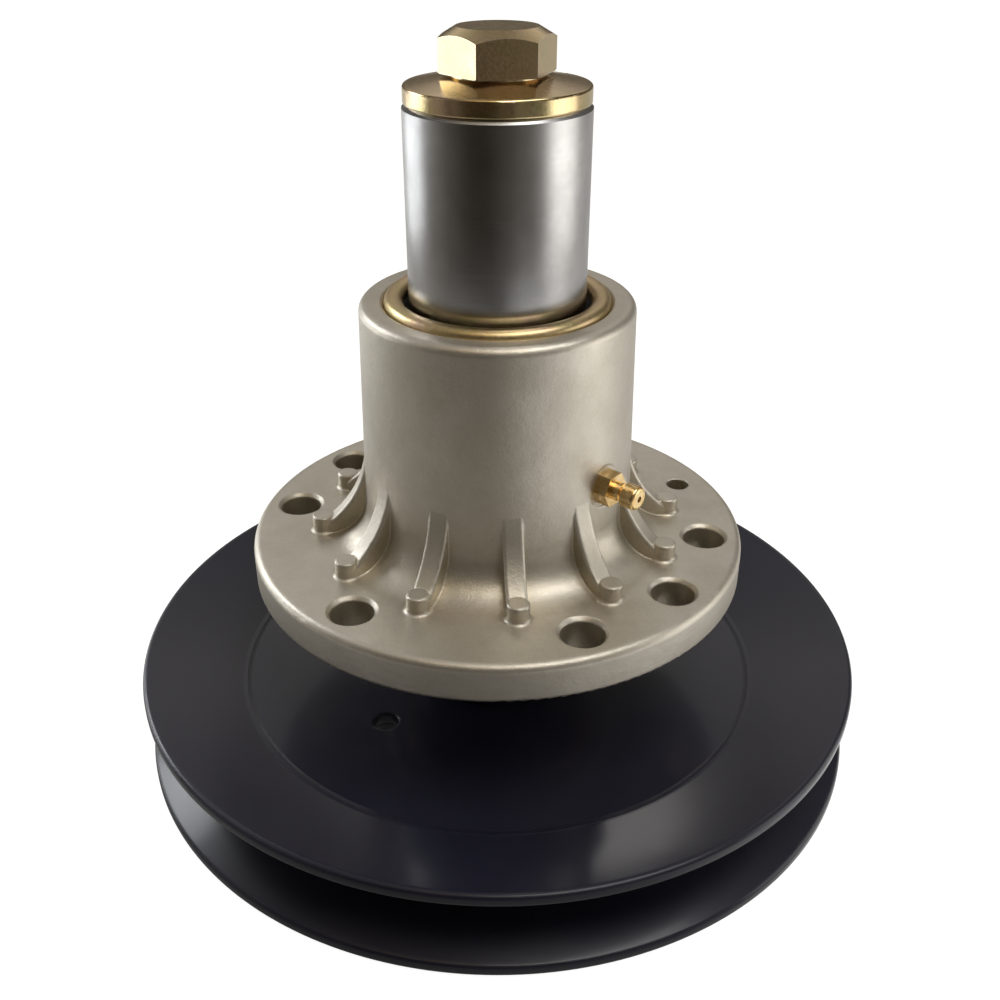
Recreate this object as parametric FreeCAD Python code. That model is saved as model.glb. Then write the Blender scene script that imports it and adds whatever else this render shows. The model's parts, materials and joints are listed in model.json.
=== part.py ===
import FreeCAD, Part
import math
import os

# Mower deck spindle, stood on its pulley with the blade end up.
# Millimetres. The axis of rotation is Z and the lower rim of the pulley lies on Z = 0.
# Angles are degrees about Z counted from +X, and the front of the spindle faces -Y.

# Fits, and how far a cutting tool reaches past the surface it cuts
slip_fit = 0.05
running_fit = 0.05
cut_overshoot = 1.0
same_length = 1e-6

# Belt pulley, two pressed sheets back to back
pulley_radius = 100.8
pulley_width = 26.0
pulley_sheet = 3.4
groove_half_angle = 20.0
pulley_bend_radius = 5.0
pulley_rim_round = 1.2
puller_hole_radius = 3.5
puller_hole_circle = 44.0
puller_hole_angle = -134.0
puller_hole_count = 2

# Pulley hub with the pocket for its nut
hub_wall = 5.0
hub_length = 23.4
hub_chamfer = 1.0
hub_pocket_play = 2.5
hub_pocket_depth = 6.0
weld_width = 6.0
weld_height = 1.6
key_width = 6.35
key_end_gap = 2.2
key_angle = 90.0
nut_washer_radius = 17.5
nut_washer_thickness = 3.2
nut_washer_chamfer = 0.4
nut_across_flats = 23.8
nut_height = 9.0
nut_chamfer = 1.6

# Shaft
shaft_radius = 12.7
shaft_thread_radius = 7.9
shaft_thread_projection = 2.0
shaft_shoulder_setback = 1.4
shaft_top_setback = 1.0
shaft_chamfer = 1.0
shaft_tap_runout = 11.2
drill_point_angle = 118.0

# Tapered roller bearings
cup_depth = 6.25
cup_width = 10.67
cone_width = 14.73
bearing_width = 14.22
bearing_chamfer = 0.8
roller_pitch_height = 6.2
roller_setback = 6.3
roller_axis_angle = 11.95
roller_radius = 3.1
roller_length = 9.6
roller_count = 15
roller_end_play = 0.25
large_rib_height = 1.9
small_rib_height = 1.2
cage_sheet = 1.0
cage_lift = 0.6
cage_overhang = 1.5
cage_pocket_play = 0.2

# Spacers of the stack
pulley_spacer_length = 20.0
inner_spacer_wall = 3.3
blade_spacer_radius = 22.225
blade_spacer_length = 55.8
spacer_chamfer = 0.8

# Blade bolt and its coned washer
blade_washer_thickness = 4.2
blade_washer_rise = 2.0
blade_washer_margin = 0.3
blade_washer_land = 2.2
blade_washer_round = 0.7
bolt_radius = 7.9
bolt_length = 44.0
bolt_tip_chamfer = 1.5
bolt_across_flats = 23.8
bolt_head_height = 10.3
bolt_head_chamfer = 4.2
bolt_underside_chamfer = 0.4
bolt_face_margin = 0.7
bolt_face_height = 0.5
bolt_hole_play = 0.4
bolt_corner_angle = 10.0
hexagon_chamfer_angle = 30.0
hexagon_sides = 6

# Seals, each a pressed steel case with a rubber lip
seal_opening_gap = 1.475
seal_channel_width = 4.8
seal_depth = 6.4
seal_projection = 1.6
seal_sheet = 1.2
seal_bead_round = 2.1
seal_leg = 3.4
lip_edge_setback = 1.5
lip_heel_setback = 0.8

# Cast housing
shoulder_spacing = 36.05
shoulder_width = 3.85
blade_seal_face_height = 8.9
pulley_seal_face_height = 9.2
seal_bore_chamfer = 0.9
pilot_boss_wall = 5.5
pilot_boss_height = 8.0
pilot_boss_chamfer = 1.0
flange_margin = 10.1
flange_thickness = 10.2
flange_top_round = 2.0
flange_bottom_round = 0.8
tube_wall = 6.3
tube_draft_angle = 1.2
tube_top_round = 2.2
tube_foot_fillet = 11.0
rib_count = 12
rib_first_angle = 6.0
rib_width = 5.4
rib_height = 25.6
rib_end_height = 2.9
rib_sink = 0.3
rib_reach = 11.5
rib_edge_round = 0.8
rib_root_depth = 3.0
pad_lap = 1.0
pad_radius = 2.9
pad_height = 4.6
pad_round = 0.6
pad_foot_round = 1.0
deck_hole_radius = 5.55
deck_hole_circle = 56.7
deck_hole_chamfer = 0.9
six_hole_count = 6
six_hole_first_angle = -9.0
four_hole_count = 4
four_hole_first_angle = -39.0
locating_hole_radius = 3.25
locating_hole_angle = 21.0

# Grease fitting
fitting_angle = -41.3
fitting_height = 23.5
fitting_spot_face_radius = 5.6
fitting_spot_face_depth = 0.4
fitting_thread_radius = 3.15
fitting_thread_length = 8.0
fitting_across_flats = 7.9
fitting_hex_length = 3.8
fitting_corner_angle = 30.0
fitting_neck_radius = 2.4
fitting_neck_length = 2.2
fitting_nose_radius = 3.1
fitting_nose_length = 5.0
fitting_nose_round = 1.0
fitting_inlet_radius = 0.8
fitting_inlet_length = 1.2
fitting_outlet_radius = 0.9
check_ball_radius = 1.2
check_ball_seat_gap = 0.05
check_spring_inset = 0.4
check_spring_wire_radius = 0.15
check_spring_turns = 4.0
check_chamber_length = 6.0

# Radii that follow from the pieces inside
hub_pocket_radius = nut_washer_radius + hub_pocket_play
hub_radius = hub_pocket_radius + hub_wall
roller_pitch_radius = shaft_radius + roller_pitch_height
cup_radius = roller_pitch_radius + cup_depth
cavity_radius = cup_radius - shoulder_width
inner_spacer_radius = shaft_radius + inner_spacer_wall
bolt_face_radius = bolt_across_flats / 2 - bolt_face_margin
blade_washer_radius = blade_spacer_radius - blade_washer_margin
seal_opening_radius = blade_spacer_radius + seal_opening_gap
seal_radius = seal_opening_radius + seal_channel_width
tube_top_radius = seal_radius + tube_wall
pilot_boss_radius = seal_radius + pilot_boss_wall
flange_radius = deck_hole_circle + flange_margin
check_spring_radius = check_ball_radius - check_spring_inset

# Heights of the stack, from the pulley up
pulley_middle = pulley_width / 2
web_bottom = pulley_middle - pulley_sheet
hub_bottom = web_bottom
hub_top = hub_bottom + hub_length
hub_pocket_floor = hub_bottom + hub_pocket_depth
nut_top = hub_pocket_floor - nut_washer_thickness
nut_bottom = nut_top - nut_height
pulley_cone_back = hub_top + pulley_spacer_length
pulley_shoulder = pulley_cone_back + bearing_width
blade_shoulder = pulley_shoulder + shoulder_spacing
blade_cone_back = blade_shoulder + bearing_width
blade_spacer_top = blade_cone_back + blade_spacer_length
blade_washer_rim_top = blade_spacer_top + blade_washer_thickness
bolt_seat = blade_washer_rim_top + blade_washer_rise

# Heights of the housing
housing_bottom = pulley_cone_back - pulley_seal_face_height
housing_top = blade_cone_back + blade_seal_face_height
flange_bottom = housing_bottom + pilot_boss_height
flange_top = flange_bottom + flange_thickness
tube_foot_radius = tube_top_radius + (housing_top - flange_top) * math.tan(math.radians(tube_draft_angle))

# Slopes of the bearing: the surfaces of cup, rollers and cone meet in one point on the axis
axis_slope = math.radians(roller_axis_angle)
roller_taper = math.atan(roller_radius * math.sin(axis_slope) / roller_pitch_radius)
apex_height = roller_setback - roller_pitch_radius / math.tan(axis_slope)

up = FreeCAD.Vector(0, 0, 1)
origin = FreeCAD.Vector(0, 0, 0)


def rounded_face(corners):
    """Flat face in the XZ plane from (radius, height) or (radius, height, rounding) corners."""
    points = [FreeCAD.Vector(corner[0], 0, corner[1]) for corner in corners]
    roundings = [corner[2] if len(corner) > 2 else 0.0 for corner in corners]
    entries = []
    exits = []
    edges = []
    for index, point in enumerate(points):
        before = (points[index - 1] - point).normalize()
        after = (points[(index + 1) % len(points)] - point).normalize()
        half_angle = before.getAngle(after) / 2
        setback = roundings[index] / math.tan(half_angle)
        entries.append(point + before * setback)
        exits.append(point + after * setback)
        if roundings[index] > 0:
            inward = (before + after).normalize()
            middle = point + inward * (roundings[index] / math.sin(half_angle) - roundings[index])
            edges.append(Part.Arc(entries[index], middle, exits[index]).toShape())
    for index in range(len(points)):
        following = entries[(index + 1) % len(points)]
        if exits[index].distanceToPoint(following) > same_length:
            edges.append(Part.makeLine(exits[index], following))
    return Part.Face(Part.Wire(Part.__sortEdges__(edges)))


def turned(corners):
    """Solid of revolution about Z from the corners of its half section."""
    return rounded_face(corners).revolve(origin, up, 360)


def ring(outer_radius, inner_radius, bottom, top, chamfer):
    """Plain turned ring with its outer edges chamfered."""
    return turned([
        (inner_radius, bottom),
        (outer_radius - chamfer, bottom),
        (outer_radius, bottom + chamfer),
        (outer_radius, top - chamfer),
        (outer_radius - chamfer, top),
        (inner_radius, top),
    ])


def cylinder(radius, bottom, top, x=0.0):
    return Part.makeCylinder(radius, top - bottom, FreeCAD.Vector(x, 0, bottom))


def turned_to(shape, angle):
    """Copy of a shape turned about Z."""
    copy = shape.copy()
    copy.rotate(origin, up, angle)
    return copy


def hexagon(across_flats, bottom, top, corner_angle=0.0):
    """Hexagonal prism with a corner at the given angle."""
    corner_radius = across_flats / math.sqrt(3)
    points = []
    for index in range(hexagon_sides + 1):
        angle = math.radians(corner_angle + index * 360 / hexagon_sides)
        x = corner_radius * math.cos(angle)
        y = corner_radius * math.sin(angle)
        points.append(FreeCAD.Vector(x, y, bottom))
    return Part.Face(Part.makePolygon(points)).extrude(up * (top - bottom))


def chamfered_hexagon(across_flats, bottom, top, top_chamfer, bottom_chamfer, corner_angle=0.0):
    """Hexagonal prism with its corners turned off at both ends."""
    corner_radius = across_flats / math.sqrt(3)
    slope = math.tan(math.radians(hexagon_chamfer_angle))
    envelope = turned([
        (0, bottom),
        (corner_radius - bottom_chamfer, bottom),
        (corner_radius, bottom + bottom_chamfer * slope),
        (corner_radius, top - top_chamfer * slope),
        (corner_radius - top_chamfer, top),
        (0, top),
    ])
    return hexagon(across_flats, bottom, top, corner_angle).common(envelope)


def housing_body():
    """Turned form of the casting: tube, flange, pilot boss and all bores."""
    seal_bore = seal_radius + slip_fit
    cup_bore = cup_radius + slip_fit
    mouth = seal_bore + seal_bore_chamfer
    return turned([
        (mouth, housing_top),
        (tube_top_radius, housing_top, tube_top_round),
        (tube_foot_radius, flange_top, tube_foot_fillet),
        (flange_radius, flange_top, flange_top_round),
        (flange_radius, flange_bottom, flange_bottom_round),
        (pilot_boss_radius, flange_bottom),
        (pilot_boss_radius, housing_bottom + pilot_boss_chamfer),
        (pilot_boss_radius - pilot_boss_chamfer, housing_bottom),
        (mouth, housing_bottom),
        (seal_bore, housing_bottom + seal_bore_chamfer),
        (seal_bore, housing_bottom + seal_depth),
        (cup_bore, housing_bottom + seal_depth),
        (cup_bore, pulley_shoulder),
        (cavity_radius, pulley_shoulder),
        (cavity_radius, blade_shoulder),
        (cup_bore, blade_shoulder),
        (cup_bore, housing_top - seal_depth),
        (seal_bore, housing_top - seal_depth),
        (seal_bore, housing_top - seal_bore_chamfer),
    ])


def tube_radius_at(height):
    return tube_top_radius + (housing_top - height) * math.tan(math.radians(tube_draft_angle))


def rib_end_radius():
    return tube_radius_at(flange_top + rib_height) - rib_sink + rib_reach


def rib():
    """Gusset between tube and flange with a hollow arc for its crest."""
    top = flange_top + rib_height
    tube = tube_radius_at(top) - rib_sink
    drop = rib_height - rib_end_height
    arc_radius = (rib_reach ** 2 + drop ** 2) / (2 * rib_reach)
    half_drop = drop / 2
    half_reach = arc_radius - math.sqrt(arc_radius ** 2 - half_drop ** 2)
    crest_start = FreeCAD.Vector(tube, -rib_width / 2, top)
    crest_middle = FreeCAD.Vector(tube + half_reach, -rib_width / 2, top - half_drop)
    crest_end = FreeCAD.Vector(rib_end_radius(), -rib_width / 2, top - drop)
    toe = FreeCAD.Vector(crest_end.x, -rib_width / 2, flange_top - rib_root_depth)
    heel = FreeCAD.Vector(tube - rib_root_depth, -rib_width / 2, flange_top - rib_root_depth)
    head = FreeCAD.Vector(tube - rib_root_depth, -rib_width / 2, top)
    crest = Part.Arc(crest_start, crest_middle, crest_end).toShape()
    outline = Part.Wire([
        crest,
        Part.makeLine(crest_end, toe),
        Part.makeLine(toe, heel),
        Part.makeLine(heel, head),
        Part.makeLine(head, crest_start),
    ])
    solid = Part.Face(outline).extrude(FreeCAD.Vector(0, rib_width, 0))
    crest_edges = [edge for edge in solid.Edges if abs(edge.Length - crest.Length) < same_length]
    return solid.makeFillet(rib_edge_round, crest_edges)


def casting_pad():
    """Round ejector pad on the flange that takes up the end of a rib."""
    pad_foot_radius = pad_radius + pad_foot_round
    return turned([
        (0, flange_top - rib_root_depth),
        (pad_foot_radius, flange_top - rib_root_depth),
        (pad_foot_radius, flange_top),
        (pad_radius, flange_top, pad_foot_round),
        (pad_radius, flange_top + pad_height, pad_round),
        (0, flange_top + pad_height),
    ]).translated(FreeCAD.Vector(rib_end_radius() + pad_lap, 0, 0))


def through_flange(radius):
    """Drill through the flange on the circle of the deck holes."""
    return cylinder(radius, flange_bottom - cut_overshoot, flange_top + cut_overshoot, deck_hole_circle)


def deck_hole():
    """Bolt hole through the flange with a chamfered entry."""
    drill = through_flange(deck_hole_radius)
    entry = Part.makeCone(
        deck_hole_radius,
        deck_hole_radius + 2 * deck_hole_chamfer,
        2 * deck_hole_chamfer,
        FreeCAD.Vector(deck_hole_circle, 0, flange_top - deck_hole_chamfer),
    )
    return drill.fuse(entry)


def deck_hole_angles():
    """The six-hole and the four-hole deck pattern share the holes where they meet."""
    six = {(six_hole_first_angle + index * 360 / six_hole_count) % 360 for index in range(six_hole_count)}
    four = {(four_hole_first_angle + index * 360 / four_hole_count) % 360 for index in range(four_hole_count)}
    return sorted(six | four)


def fitting_seat():
    """Distance from the axis to the spot face under the grease fitting."""
    return tube_radius_at(flange_top + fitting_height) - fitting_spot_face_depth


def along_fitting(shape):
    """Place a piece drawn along Z, seat at zero, on the side of the tube."""
    placed = shape.copy()
    placed.rotate(origin, FreeCAD.Vector(0, 1, 0), 90)
    placed.translate(FreeCAD.Vector(fitting_seat(), 0, flange_top + fitting_height))
    return turned_to(placed, fitting_angle)


def spindle_housing():
    body = housing_body()
    one_rib = rib()
    one_pad = casting_pad()
    added = []
    for index in range(rib_count):
        angle = rib_first_angle + index * 360 / rib_count
        added.append(turned_to(one_rib, angle))
        added.append(turned_to(one_pad, angle))
    body = body.fuse(added)
    holes = [turned_to(deck_hole(), angle) for angle in deck_hole_angles()]
    holes.append(turned_to(through_flange(locating_hole_radius), locating_hole_angle))
    fitting_bore_end = inner_spacer_radius - fitting_seat()
    holes.append(along_fitting(cylinder(fitting_thread_radius + slip_fit, fitting_bore_end, 0)))
    holes.append(along_fitting(cylinder(fitting_spot_face_radius, 0, fitting_tip())))
    return body.cut(holes).removeSplitter()


def fitting_tip():
    return fitting_hex_length + fitting_neck_length + fitting_nose_length


def check_chamber_top():
    return fitting_tip() - fitting_inlet_length


def check_ball_height():
    """The ball closes the inlet: it rests on the rim of the inlet hole."""
    contact = math.sqrt(check_ball_radius ** 2 - fitting_inlet_radius ** 2)
    return check_chamber_top() - contact - check_ball_seat_gap


def check_chamber_bottom():
    return check_chamber_top() - check_chamber_length


def grease_fitting():
    hex_part = hexagon(fitting_across_flats, 0, fitting_hex_length, fitting_corner_angle)
    thread = cylinder(fitting_thread_radius, -fitting_thread_length, 0)
    neck_top = fitting_hex_length + fitting_neck_length
    nose = turned([
        (0, fitting_hex_length),
        (fitting_neck_radius, fitting_hex_length),
        (fitting_neck_radius, neck_top),
        (fitting_nose_radius, neck_top + fitting_nose_round),
        (fitting_nose_radius, fitting_tip(), fitting_nose_round),
        (0, fitting_tip()),
    ])
    inlet = cylinder(fitting_inlet_radius, check_chamber_top(), fitting_tip() + cut_overshoot)
    chamber = cylinder(check_ball_radius + running_fit, check_chamber_bottom(), check_chamber_top())
    outlet = cylinder(fitting_outlet_radius, -fitting_thread_length - cut_overshoot, check_chamber_bottom())
    return along_fitting(hex_part.fuse([thread, nose]).cut([inlet, chamber, outlet]))


def grease_fitting_ball():
    return along_fitting(Part.makeSphere(check_ball_radius, FreeCAD.Vector(0, 0, check_ball_height())))


def grease_fitting_spring():
    """Coil between the floor of the chamber and the ball."""
    low = check_chamber_bottom() + check_spring_wire_radius
    high = check_ball_height() - check_ball_radius - check_spring_wire_radius
    helix = Part.makeHelix((high - low) / check_spring_turns, high - low, check_spring_radius)
    section = Part.Wire(Part.makeCircle(
        check_spring_wire_radius,
        FreeCAD.Vector(check_spring_radius, 0, 0),
        FreeCAD.Vector(0, 1, 0),
    ))
    coil = Part.Wire(helix).makePipeShell([section], True, True)
    return along_fitting(coil.translated(FreeCAD.Vector(0, 0, low)))


def roller_point(along, across):
    """(radius, height) of a point given along and across the roller axis from its middle."""
    radius = roller_pitch_radius + along * math.sin(axis_slope) + across * math.cos(axis_slope)
    height = roller_setback + along * math.cos(axis_slope) - across * math.sin(axis_slope)
    return radius, height


def race_depth(along):
    """Distance from the roller axis to the raceway."""
    return roller_radius + along * math.tan(roller_taper)


def bearing_cup():
    """Outer race, back face at height zero, opening upward."""
    slope = math.tan(axis_slope + roller_taper)
    return turned([
        (-apex_height * slope, 0),
        (cup_radius - bearing_chamfer, 0),
        (cup_radius, bearing_chamfer),
        (cup_radius, cup_width),
        ((cup_width - apex_height) * slope, cup_width),
    ])


def bearing_cone():
    """Inner race with a tall rib behind the large roller ends and a low one at the small ends."""
    back = bearing_width
    front = bearing_width - cone_width
    bore = shaft_radius + slip_fit
    end = roller_length / 2 + roller_end_play
    large_rib = roller_point(end, large_rib_height - race_depth(end))
    small_rib = roller_point(-end, small_rib_height - race_depth(-end))
    return turned([
        (bore, front),
        (small_rib[0], front),
        small_rib,
        roller_point(-end, -race_depth(-end)),
        roller_point(end, -race_depth(end)),
        large_rib,
        (large_rib[0], back),
        (bore + bearing_chamfer, back),
        (bore, back - bearing_chamfer),
    ])


def tapered_roller(play, extra_length):
    """One roller; negative play gives running clearance, positive play a tool for its pocket."""
    half = roller_length / 2 + extra_length
    low = roller_point(-half, 0)
    direction = FreeCAD.Vector(math.sin(axis_slope), 0, math.cos(axis_slope))
    return Part.makeCone(
        race_depth(-half) + play,
        race_depth(half) + play,
        2 * half,
        FreeCAD.Vector(low[0], 0, low[1]),
        direction,
    )


def around_bearing(shape):
    return [turned_to(shape, index * 360 / roller_count) for index in range(roller_count)]


def bearing_rollers():
    return Part.makeCompound(around_bearing(tapered_roller(-running_fit, 0)))


def bearing_cage():
    """Pressed conical sheet with one pocket for each roller."""
    half = roller_length / 2 + cage_overhang
    shell = turned([
        roller_point(-half, cage_lift),
        roller_point(half, cage_lift),
        roller_point(half, cage_lift + cage_sheet),
        roller_point(-half, cage_lift + cage_sheet),
    ])
    return shell.cut(around_bearing(tapered_roller(cage_pocket_play, cage_pocket_play)))


def seal_case():
    """Pressed channel whose rounded back stands proud of the housing, inner end at height zero."""
    back = seal_depth + seal_projection
    leg_end = back - seal_leg
    return turned([
        (seal_radius, 0),
        (seal_radius, back, seal_bead_round),
        (seal_opening_radius, back, seal_bead_round),
        (seal_opening_radius, leg_end),
        (seal_opening_radius + seal_sheet, leg_end),
        (seal_opening_radius + seal_sheet, back - seal_sheet),
        (seal_radius - seal_sheet, back - seal_sheet),
        (seal_radius - seal_sheet, 0),
    ])


def seal_lip():
    """Rubber bonded into the case, its edge running on the spacer."""
    leg_end = seal_depth + seal_projection - seal_leg
    outside = seal_radius - seal_sheet - slip_fit
    top = seal_depth + seal_projection - seal_bead_round - slip_fit
    inside = seal_opening_radius + seal_sheet + slip_fit
    edge = blade_spacer_radius + running_fit
    edge_height = leg_end - lip_edge_setback
    return turned([
        (outside, lip_heel_setback),
        (outside, top),
        (inside, top),
        (inside, leg_end - slip_fit),
        (seal_opening_radius, leg_end - slip_fit),
        (edge, edge_height),
        (inside, lip_heel_setback),
    ])


def facing_blade(shape, height):
    return shape.translated(FreeCAD.Vector(0, 0, height))


def facing_pulley(shape, height):
    return shape.mirror(origin, up).translated(FreeCAD.Vector(0, 0, height))


def spindle_shaft():
    """Straight shaft: thread for the pulley nut below, tapped hole for the blade bolt above."""
    thread_bottom = nut_bottom - shaft_thread_projection
    shoulder = hub_pocket_floor + shaft_shoulder_setback
    top = blade_spacer_top - shaft_top_setback
    body = turned([
        (0, thread_bottom),
        (shaft_thread_radius - shaft_chamfer, thread_bottom),
        (shaft_thread_radius, thread_bottom + shaft_chamfer),
        (shaft_thread_radius, shoulder),
        (shaft_radius - shaft_chamfer, shoulder),
        (shaft_radius, shoulder + shaft_chamfer),
        (shaft_radius, top - shaft_chamfer),
        (shaft_radius - shaft_chamfer, top),
        (0, top),
    ])
    tap_radius = bolt_radius + slip_fit
    tap_bottom = bolt_seat - bolt_length - shaft_tap_runout
    drill_point = tap_radius / math.tan(math.radians(drill_point_angle / 2))
    tapped = turned([
        (0, tap_bottom - drill_point),
        (tap_radius, tap_bottom),
        (tap_radius, top),
        (0, top),
    ])
    return body.cut([tapped, key_block(slip_fit)])


def key_block(play):
    """Square key half in the shaft and half in the hub."""
    bottom = hub_pocket_floor + key_end_gap
    top = hub_top - key_end_gap
    return keyway_block(bottom - play, top + play, play)


def keyway_block(bottom, top, play):
    """Square bar along the shaft, centred on its surface."""
    side = key_width + 2 * play
    corner = FreeCAD.Vector(shaft_radius - side / 2, -side / 2, bottom)
    return turned_to(Part.makeBox(side, side, top - bottom, corner), key_angle)


def pulley_half():
    """Upper pressed sheet: flat web, bend and the flank of the belt groove."""
    slope = math.radians(groove_half_angle)
    edge_height = pulley_sheet / math.cos(slope)
    rim_corner = pulley_width + pulley_rim_round * (math.tan(slope) + 1 / math.cos(slope) - 1)
    top_corner = pulley_radius - (rim_corner - pulley_middle - pulley_sheet) / math.tan(slope)
    bottom_corner = pulley_radius - (rim_corner - edge_height - pulley_middle) / math.tan(slope)
    sheet = turned([
        (hub_radius + slip_fit, pulley_middle),
        (bottom_corner, pulley_middle, pulley_bend_radius + pulley_sheet),
        (pulley_radius, rim_corner - edge_height, pulley_rim_round),
        (pulley_radius, rim_corner, pulley_rim_round),
        (top_corner, pulley_middle + pulley_sheet, pulley_bend_radius),
        (hub_radius + slip_fit, pulley_middle + pulley_sheet),
    ])
    hole_bottom = pulley_middle - cut_overshoot
    hole_top = pulley_middle + pulley_sheet + cut_overshoot
    hole = cylinder(puller_hole_radius, hole_bottom, hole_top, puller_hole_circle)
    angles = [puller_hole_angle + index * 360 / puller_hole_count for index in range(puller_hole_count)]
    return sheet.cut([turned_to(hole, angle) for angle in angles])


def pulley_hub():
    """Turned hub with a keyway through its bore and a pocket for the nut."""
    bore = shaft_radius + slip_fit
    body = turned([
        (hub_pocket_radius, hub_bottom),
        (hub_radius, hub_bottom),
        (hub_radius, hub_top - hub_chamfer),
        (hub_radius - hub_chamfer, hub_top),
        (bore, hub_top),
        (bore, hub_pocket_floor),
        (hub_pocket_radius, hub_pocket_floor),
    ])
    return body.cut(keyway_block(hub_pocket_floor, hub_top, slip_fit))


def hub_weld_bead():
    """Weld bead over the joint between hub and web on the underside."""
    return turned([
        (hub_radius - weld_width / 2, web_bottom),
        (hub_radius + weld_width / 2, web_bottom),
        (hub_radius + weld_width / 4, web_bottom - weld_height, weld_height / 2),
        (hub_radius - weld_width / 4, web_bottom - weld_height, weld_height / 2),
    ])


def blade_bolt():
    """Hexagon bolt clamping the blade washer on the spacer."""
    shank_bottom = bolt_seat - bolt_length
    head_bottom = bolt_seat + bolt_face_height
    head_top = bolt_seat + bolt_head_height
    shank = turned([
        (0, shank_bottom),
        (bolt_radius - bolt_tip_chamfer, shank_bottom),
        (bolt_radius, shank_bottom + bolt_tip_chamfer),
        (bolt_radius, bolt_seat),
        (bolt_face_radius, bolt_seat),
        (bolt_face_radius, head_bottom),
        (0, head_bottom),
    ])
    head = chamfered_hexagon(
        bolt_across_flats,
        head_bottom,
        head_top,
        bolt_head_chamfer,
        bolt_underside_chamfer,
        bolt_corner_angle,
    )
    return shank.fuse(head).removeSplitter()


def blade_washer():
    """Coned washer: its rim presses on the spacer and its middle stands higher under the bolt head."""
    hole = bolt_radius + bolt_hole_play
    return turned([
        (hole, blade_spacer_top + blade_washer_rise),
        (blade_washer_radius - blade_washer_land, blade_spacer_top),
        (blade_washer_radius, blade_spacer_top, blade_washer_round),
        (blade_washer_radius, blade_washer_rim_top, blade_washer_round),
        (bolt_face_radius, bolt_seat),
        (hole, bolt_seat),
    ])


def pulley_nut():
    body = chamfered_hexagon(nut_across_flats, nut_bottom, nut_top, nut_chamfer, nut_chamfer)
    tap = cylinder(shaft_thread_radius + slip_fit, nut_bottom - cut_overshoot, nut_top + cut_overshoot)
    return body.cut(tap)


def all_pieces():
    """Every piece of the spindle by the name of its node."""
    cup = bearing_cup()
    cone = bearing_cone()
    rollers = bearing_rollers()
    cage = bearing_cage()
    case = seal_case()
    lip = seal_lip()
    upper_half = pulley_half()
    bore = shaft_radius + slip_fit
    cone_overhang = cone_width - bearing_width
    blade_seal = housing_top - seal_depth
    pulley_seal = housing_bottom + seal_depth
    return {
        "spindle_housing": spindle_housing(),
        "grease_fitting": grease_fitting(),
        "grease_fitting_ball": grease_fitting_ball(),
        "grease_fitting_spring": grease_fitting_spring(),
        "blade_side_bearing_cup": facing_blade(cup, blade_shoulder),
        "blade_side_bearing_cone": facing_blade(cone, blade_shoulder),
        "blade_side_rollers": facing_blade(rollers, blade_shoulder),
        "blade_side_roller_cage": facing_blade(cage, blade_shoulder),
        "blade_side_seal_case": facing_blade(case, blade_seal),
        "blade_side_seal_lip": facing_blade(lip, blade_seal),
        "pulley_side_bearing_cup": facing_pulley(cup, pulley_shoulder),
        "pulley_side_bearing_cone": facing_pulley(cone, pulley_shoulder),
        "pulley_side_rollers": facing_pulley(rollers, pulley_shoulder),
        "pulley_side_roller_cage": facing_pulley(cage, pulley_shoulder),
        "pulley_side_seal_case": facing_pulley(case, pulley_seal),
        "pulley_side_seal_lip": facing_pulley(lip, pulley_seal),
        "spindle_shaft": spindle_shaft(),
        "inner_spacer_tube": ring(
            inner_spacer_radius,
            bore,
            pulley_shoulder + cone_overhang,
            blade_shoulder - cone_overhang,
            spacer_chamfer,
        ),
        "blade_spacer": ring(blade_spacer_radius, bore, blade_cone_back, blade_spacer_top, spacer_chamfer),
        "blade_washer": blade_washer(),
        "blade_bolt": blade_bolt(),
        "pulley_side_spacer": ring(blade_spacer_radius, bore, hub_top, pulley_cone_back, spacer_chamfer),
        "pulley_upper_half": upper_half,
        "pulley_lower_half": upper_half.mirror(FreeCAD.Vector(0, 0, pulley_middle), up),
        "pulley_hub": pulley_hub(),
        "hub_weld_bead": hub_weld_bead(),
        "pulley_key": key_block(0),
        "pulley_nut_washer": ring(
            nut_washer_radius,
            shaft_thread_radius + bolt_hole_play,
            nut_top,
            hub_pocket_floor,
            nut_washer_chamfer,
        ),
        "pulley_nut": pulley_nut(),
    }


os.makedirs("parts", exist_ok=True)
for node, piece in all_pieces().items():
    piece.exportStep("parts/" + node + ".step")
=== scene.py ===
import json
import math
from collections import namedtuple

import bmesh
import bpy
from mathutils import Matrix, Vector


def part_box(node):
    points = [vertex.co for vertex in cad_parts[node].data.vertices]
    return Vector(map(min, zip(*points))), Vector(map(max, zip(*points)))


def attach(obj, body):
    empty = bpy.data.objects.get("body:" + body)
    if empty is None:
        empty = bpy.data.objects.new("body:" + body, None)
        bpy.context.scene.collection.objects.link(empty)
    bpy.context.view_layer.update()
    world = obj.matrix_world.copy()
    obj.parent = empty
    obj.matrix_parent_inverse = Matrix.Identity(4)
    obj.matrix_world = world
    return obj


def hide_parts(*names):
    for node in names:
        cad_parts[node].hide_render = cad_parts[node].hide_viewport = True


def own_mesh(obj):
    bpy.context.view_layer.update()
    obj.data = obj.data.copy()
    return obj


# Mower deck spindle in a white studio. Lengths are metres, and the camera stands on the -Y side.
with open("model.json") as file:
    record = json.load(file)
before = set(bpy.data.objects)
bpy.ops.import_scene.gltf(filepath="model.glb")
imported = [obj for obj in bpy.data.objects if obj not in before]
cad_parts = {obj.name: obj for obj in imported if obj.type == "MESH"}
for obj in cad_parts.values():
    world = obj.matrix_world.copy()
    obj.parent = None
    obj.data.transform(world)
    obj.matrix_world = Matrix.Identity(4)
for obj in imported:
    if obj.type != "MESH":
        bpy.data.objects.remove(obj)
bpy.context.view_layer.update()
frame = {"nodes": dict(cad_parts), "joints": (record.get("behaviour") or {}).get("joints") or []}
nodes = frame["nodes"]

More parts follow.
